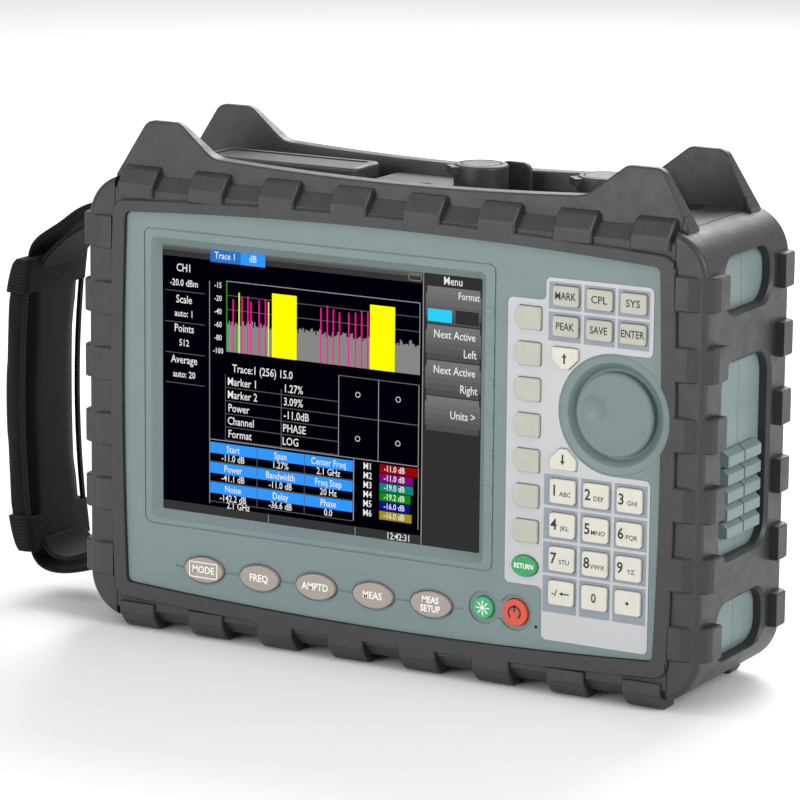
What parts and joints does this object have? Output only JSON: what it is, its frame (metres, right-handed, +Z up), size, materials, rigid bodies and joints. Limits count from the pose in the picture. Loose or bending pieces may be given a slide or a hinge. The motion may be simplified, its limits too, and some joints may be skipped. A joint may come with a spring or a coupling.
{
  "type": "vector network analyzer",
  "caption": "Portable vector network analyzer: rubber-bumpered case with a screen, keypads, a rotary knob, capped coaxial ports, a hand strap, a port cover and a tilt stand.",
  "frame": {"origin": "on the surface the part stands on, midway across the case and midway in its depth", "axes": "+X to the right of the front panel, +Y from the front panel to the back, +Z up"},
  "size_m": [0.3927, 0.093, 0.2462],
  "materials": {
    "case": "fine grain",
    "bumper": "fine grain",
    "overlay": "satin printed film",
    "window": "clear",
    "module": "matt",
    "mat": "matt",
    "board": "solder mask",
    "shield": "bead blasted",
    "connector": "turned",
    "deck": "fine grain",
    "battery": "smooth",
    "door": "fine grain",
    "screw": "zinc plated",
    "pad": "neoprene",
    "webbing": "woven band",
    "knob": "satin",
    "cap": "moulded",
    "cover": "moulded",
    "stand": "fine grain",
    "soft_key": "satin",
    "number_key": "satin",
    "menu_key": "satin",
    "return_key": "satin",
    "backlight_key": "satin",
    "power_key": "satin"
  },
  "bodies": {
    "instrument": {"front_case": "case", "rear_case": "case", "top_bumper": "bumper", "bottom_bumper": "bumper", "left_bumper": "bumper", "right_bumper": "bumper", "keypad_overlay": "overlay", "display_window": "window", "display_module": "module", "key_mat": "mat", "keypad_board": "board", "main_board": "board", "rf_module": "shield", "rf_ports": "connector", "connector_panel": "deck", "battery_pack": "battery", "battery_door": "door", "case_screws": "screw", "strap_pad": "pad", "strap_webbing": "webbing"},
    "soft_key_1": {"soft_key_1": "soft_key"},
    "soft_key_2": {"soft_key_2": "soft_key"},
    "soft_key_3": {"soft_key_3": "soft_key"},
    "soft_key_4": {"soft_key_4": "soft_key"},
    "soft_key_5": {"soft_key_5": "soft_key"},
    "soft_key_6": {"soft_key_6": "soft_key"},
    "soft_key_7": {"soft_key_7": "soft_key"},
    "return_key": {"return_key": "return_key"},
    "mark_key": {"mark_key": "soft_key"},
    "couple_key": {"couple_key": "soft_key"},
    "system_key": {"system_key": "soft_key"},
    "peak_key": {"peak_key": "soft_key"},
    "save_key": {"save_key": "soft_key"},
    "enter_key": {"enter_key": "soft_key"},
    "number_key_1": {"number_key_1": "number_key"},
    "number_key_2": {"number_key_2": "number_key"},
    "number_key_3": {"number_key_3": "number_key"},
    "number_key_4": {"number_key_4": "number_key"},
    "number_key_5": {"number_key_5": "number_key"},
    "number_key_6": {"number_key_6": "number_key"},
    "number_key_7": {"number_key_7": "number_key"},
    "number_key_8": {"number_key_8": "number_key"},
    "number_key_9": {"number_key_9": "number_key"},
    "number_key_sign": {"number_key_sign": "number_key"},
    "number_key_0": {"number_key_0": "number_key"},
    "number_key_point": {"number_key_point": "number_key"},
    "arrow_up_key": {"arrow_up_key": "number_key"},
    "arrow_down_key": {"arrow_down_key": "number_key"},
    "menu_key_1": {"menu_key_1": "menu_key"},
    "menu_key_2": {"menu_key_2": "menu_key"},
    "menu_key_3": {"menu_key_3": "menu_key"},
    "menu_key_4": {"menu_key_4": "menu_key"},
    "menu_key_5": {"menu_key_5": "menu_key"},
    "backlight_key": {"backlight_key": "backlight_key"},
    "power_key": {"power_key": "power_key"},
    "tuning_knob": {"tuning_knob": "knob"},
    "port_cap_1": {"port_cap_1": "cap"},
    "port_cap_2": {"port_cap_2": "cap"},
    "port_cover": {"port_cover": "cover"},
    "tilt_stand": {"tilt_stand": "stand"}
  },
  "joints": [
    {"name": "soft_key_1_press", "type": "slide", "parent": "instrument", "child": "soft_key_1", "axis": [0, 1, 0], "range_m": [0, 0.001], "stiffness_N_per_m": 400, "springref_m": -0.001},
    {"name": "soft_key_2_press", "type": "slide", "parent": "instrument", "child": "soft_key_2", "axis": [0, 1, 0], "range_m": [0, 0.001], "stiffness_N_per_m": 400, "springref_m": -0.001},
    {"name": "soft_key_3_press", "type": "slide", "parent": "instrument", "child": "soft_key_3", "axis": [0, 1, 0], "range_m": [0, 0.001], "stiffness_N_per_m": 400, "springref_m": -0.001},
    {"name": "soft_key_4_press", "type": "slide", "parent": "instrument", "child": "soft_key_4", "axis": [0, 1, 0], "range_m": [0, 0.001], "stiffness_N_per_m": 400, "springref_m": -0.001},
    {"name": "soft_key_5_press", "type": "slide", "parent": "instrument", "child": "soft_key_5", "axis": [0, 1, 0], "range_m": [0, 0.001], "stiffness_N_per_m": 400, "springref_m": -0.001},
    {"name": "soft_key_6_press", "type": "slide", "parent": "instrument", "child": "soft_key_6", "axis": [0, 1, 0], "range_m": [0, 0.001], "stiffness_N_per_m": 400, "springref_m": -0.001},
    {"name": "soft_key_7_press", "type": "slide", "parent": "instrument", "child": "soft_key_7", "axis": [0, 1, 0], "range_m": [0, 0.001], "stiffness_N_per_m": 400, "springref_m": -0.001},
    {"name": "return_key_press", "type": "slide", "parent": "instrument", "child": "return_key", "axis": [0, 1, 0], "range_m": [0, 0.001], "stiffness_N_per_m": 400, "springref_m": -0.001},
    {"name": "mark_key_press", "type": "slide", "parent": "instrument", "child": "mark_key", "axis": [0, 1, 0], "range_m": [0, 0.001], "stiffness_N_per_m": 400, "springref_m": -0.001},
    {"name": "couple_key_press", "type": "slide", "parent": "instrument", "child": "couple_key", "axis": [0, 1, 0], "range_m": [0, 0.001], "stiffness_N_per_m": 400, "springref_m": -0.001},
    {"name": "system_key_press", "type": "slide", "parent": "instrument", "child": "system_key", "axis": [0, 1, 0], "range_m": [0, 0.001], "stiffness_N_per_m": 400, "springref_m": -0.001},
    {"name": "peak_key_press", "type": "slide", "parent": "instrument", "child": "peak_key", "axis": [0, 1, 0], "range_m": [0, 0.001], "stiffness_N_per_m": 400, "springref_m": -0.001},
    {"name": "save_key_press", "type": "slide", "parent": "instrument", "child": "save_key", "axis": [0, 1, 0], "range_m": [0, 0.001], "stiffness_N_per_m": 400, "springref_m": -0.001},
    {"name": "enter_key_press", "type": "slide", "parent": "instrument", "child": "enter_key", "axis": [0, 1, 0], "range_m": [0, 0.001], "stiffness_N_per_m": 400, "springref_m": -0.001},
    {"name": "number_key_1_press", "type": "slide", "parent": "instrument", "child": "number_key_1", "axis": [0, 1, 0], "range_m": [0, 0.001], "stiffness_N_per_m": 400, "springref_m": -0.001},
    {"name": "number_key_2_press", "type": "slide", "parent": "instrument", "child": "number_key_2", "axis": [0, 1, 0], "range_m": [0, 0.001], "stiffness_N_per_m": 400, "springref_m": -0.001},
    {"name": "number_key_3_press", "type": "slide", "parent": "instrument", "child": "number_key_3", "axis": [0, 1, 0], "range_m": [0, 0.001], "stiffness_N_per_m": 400, "springref_m": -0.001},
    {"name": "number_key_4_press", "type": "slide", "parent": "instrument", "child": "number_key_4", "axis": [0, 1, 0], "range_m": [0, 0.001], "stiffness_N_per_m": 400, "springref_m": -0.001},
    {"name": "number_key_5_press", "type": "slide", "parent": "instrument", "child": "number_key_5", "axis": [0, 1, 0], "range_m": [0, 0.001], "stiffness_N_per_m": 400, "springref_m": -0.001},
    {"name": "number_key_6_press", "type": "slide", "parent": "instrument", "child": "number_key_6", "axis": [0, 1, 0], "range_m": [0, 0.001], "stiffness_N_per_m": 400, "springref_m": -0.001},
    {"name": "number_key_7_press", "type": "slide", "parent": "instrument", "child": "number_key_7", "axis": [0, 1, 0], "range_m": [0, 0.001], "stiffness_N_per_m": 400, "springref_m": -0.001},
    {"name": "number_key_8_press", "type": "slide", "parent": "instrument", "child": "number_key_8", "axis": [0, 1, 0], "range_m": [0, 0.001], "stiffness_N_per_m": 400, "springref_m": -0.001},
    {"name": "number_key_9_press", "type": "slide", "parent": "instrument", "child": "number_key_9", "axis": [0, 1, 0], "range_m": [0, 0.001], "stiffness_N_per_m": 400, "springref_m": -0.001},
    {"name": "number_key_sign_press", "type": "slide", "parent": "instrument", "child": "number_key_sign", "axis": [0, 1, 0], "range_m": [0, 0.001], "stiffness_N_per_m": 400, "springref_m": -0.001},
    {"name": "number_key_0_press", "type": "slide", "parent": "instrument", "child": "number_key_0", "axis": [0, 1, 0], "range_m": [0, 0.001], "stiffness_N_per_m": 400, "springref_m": -0.001},
    {"name": "number_key_point_press", "type": "slide", "parent": "instrument", "child": "number_key_point", "axis": [0, 1, 0], "range_m": [0, 0.001], "stiffness_N_per_m": 400, "springref_m": -0.001},
    {"name": "arrow_up_key_press", "type": "slide", "parent": "instrument", "child": "arrow_up_key", "axis": [0, 1, 0], "range_m": [0, 0.001], "stiffness_N_per_m": 400, "springref_m": -0.001},
    {"name": "arrow_down_key_press", "type": "slide", "parent": "instrument", "child": "arrow_down_key", "axis": [0, 1, 0], "range_m": [0, 0.001], "stiffness_N_per_m": 400, "springref_m": -0.001},
    {"name": "menu_key_1_press", "type": "slide", "parent": "instrument", "child": "menu_key_1", "axis": [0, 1, 0], "range_m": [0, 0.001], "stiffness_N_per_m": 400, "springref_m": -0.001},
    {"name": "menu_key_2_press", "type": "slide", "parent": "instrument", "child": "menu_key_2", "axis": [0, 1, 0], "range_m": [0, 0.001], "stiffness_N_per_m": 400, "springref_m": -0.001},
    {"name": "menu_key_3_press", "type": "slide", "parent": "instrument", "child": "menu_key_3", "axis": [0, 1, 0], "range_m": [0, 0.001], "stiffness_N_per_m": 400, "springref_m": -0.001},
    {"name": "menu_key_4_press", "type": "slide", "parent": "instrument", "child": "menu_key_4", "axis": [0, 1, 0], "range_m": [0, 0.001], "stiffness_N_per_m": 400, "springref_m": -0.001},
    {"name": "menu_key_5_press", "type": "slide", "parent": "instrument", "child": "menu_key_5", "axis": [0, 1, 0], "range_m": [0, 0.001], "stiffness_N_per_m": 400, "springref_m": -0.001},
    {"name": "backlight_key_press", "type": "slide", "parent": "instrument", "child": "backlight_key", "axis": [0, 1, 0], "range_m": [0, 0.001], "stiffness_N_per_m": 400, "springref_m": -0.001},
    {"name": "power_key_press", "type": "slide", "parent": "instrument", "child": "power_key", "axis": [0, 1, 0], "range_m": [0, 0.001], "stiffness_N_per_m": 400, "springref_m": -0.001},
    {"name": "tuning_knob_turn", "type": "hinge", "parent": "instrument", "child": "tuning_knob", "pos_m": [0.1183, -0.0445, 0.1343], "axis": [0, 1, 0], "continuous": true},
    {"name": "port_cap_1_lift", "type": "slide", "parent": "instrument", "child": "port_cap_1", "axis": [0, 0, 1], "range_m": [0, 0.026]},
    {"name": "port_cap_2_lift", "type": "slide", "parent": "instrument", "child": "port_cap_2", "axis": [0, 0, 1], "range_m": [0, 0.026]},
    {"name": "port_cover_hinge", "type": "hinge", "parent": "instrument", "child": "port_cover", "pos_m": [-0.0772, 0.01685, 0.2249], "axis": [-1, 0, 0], "range_deg": [0, 105]},
    {"name": "tilt_stand_hinge", "type": "hinge", "parent": "instrument", "child": "tilt_stand", "pos_m": [0, 0.042, 0.1177], "axis": [1, 0, 0], "range_deg": [0, 38]}
  ]
}
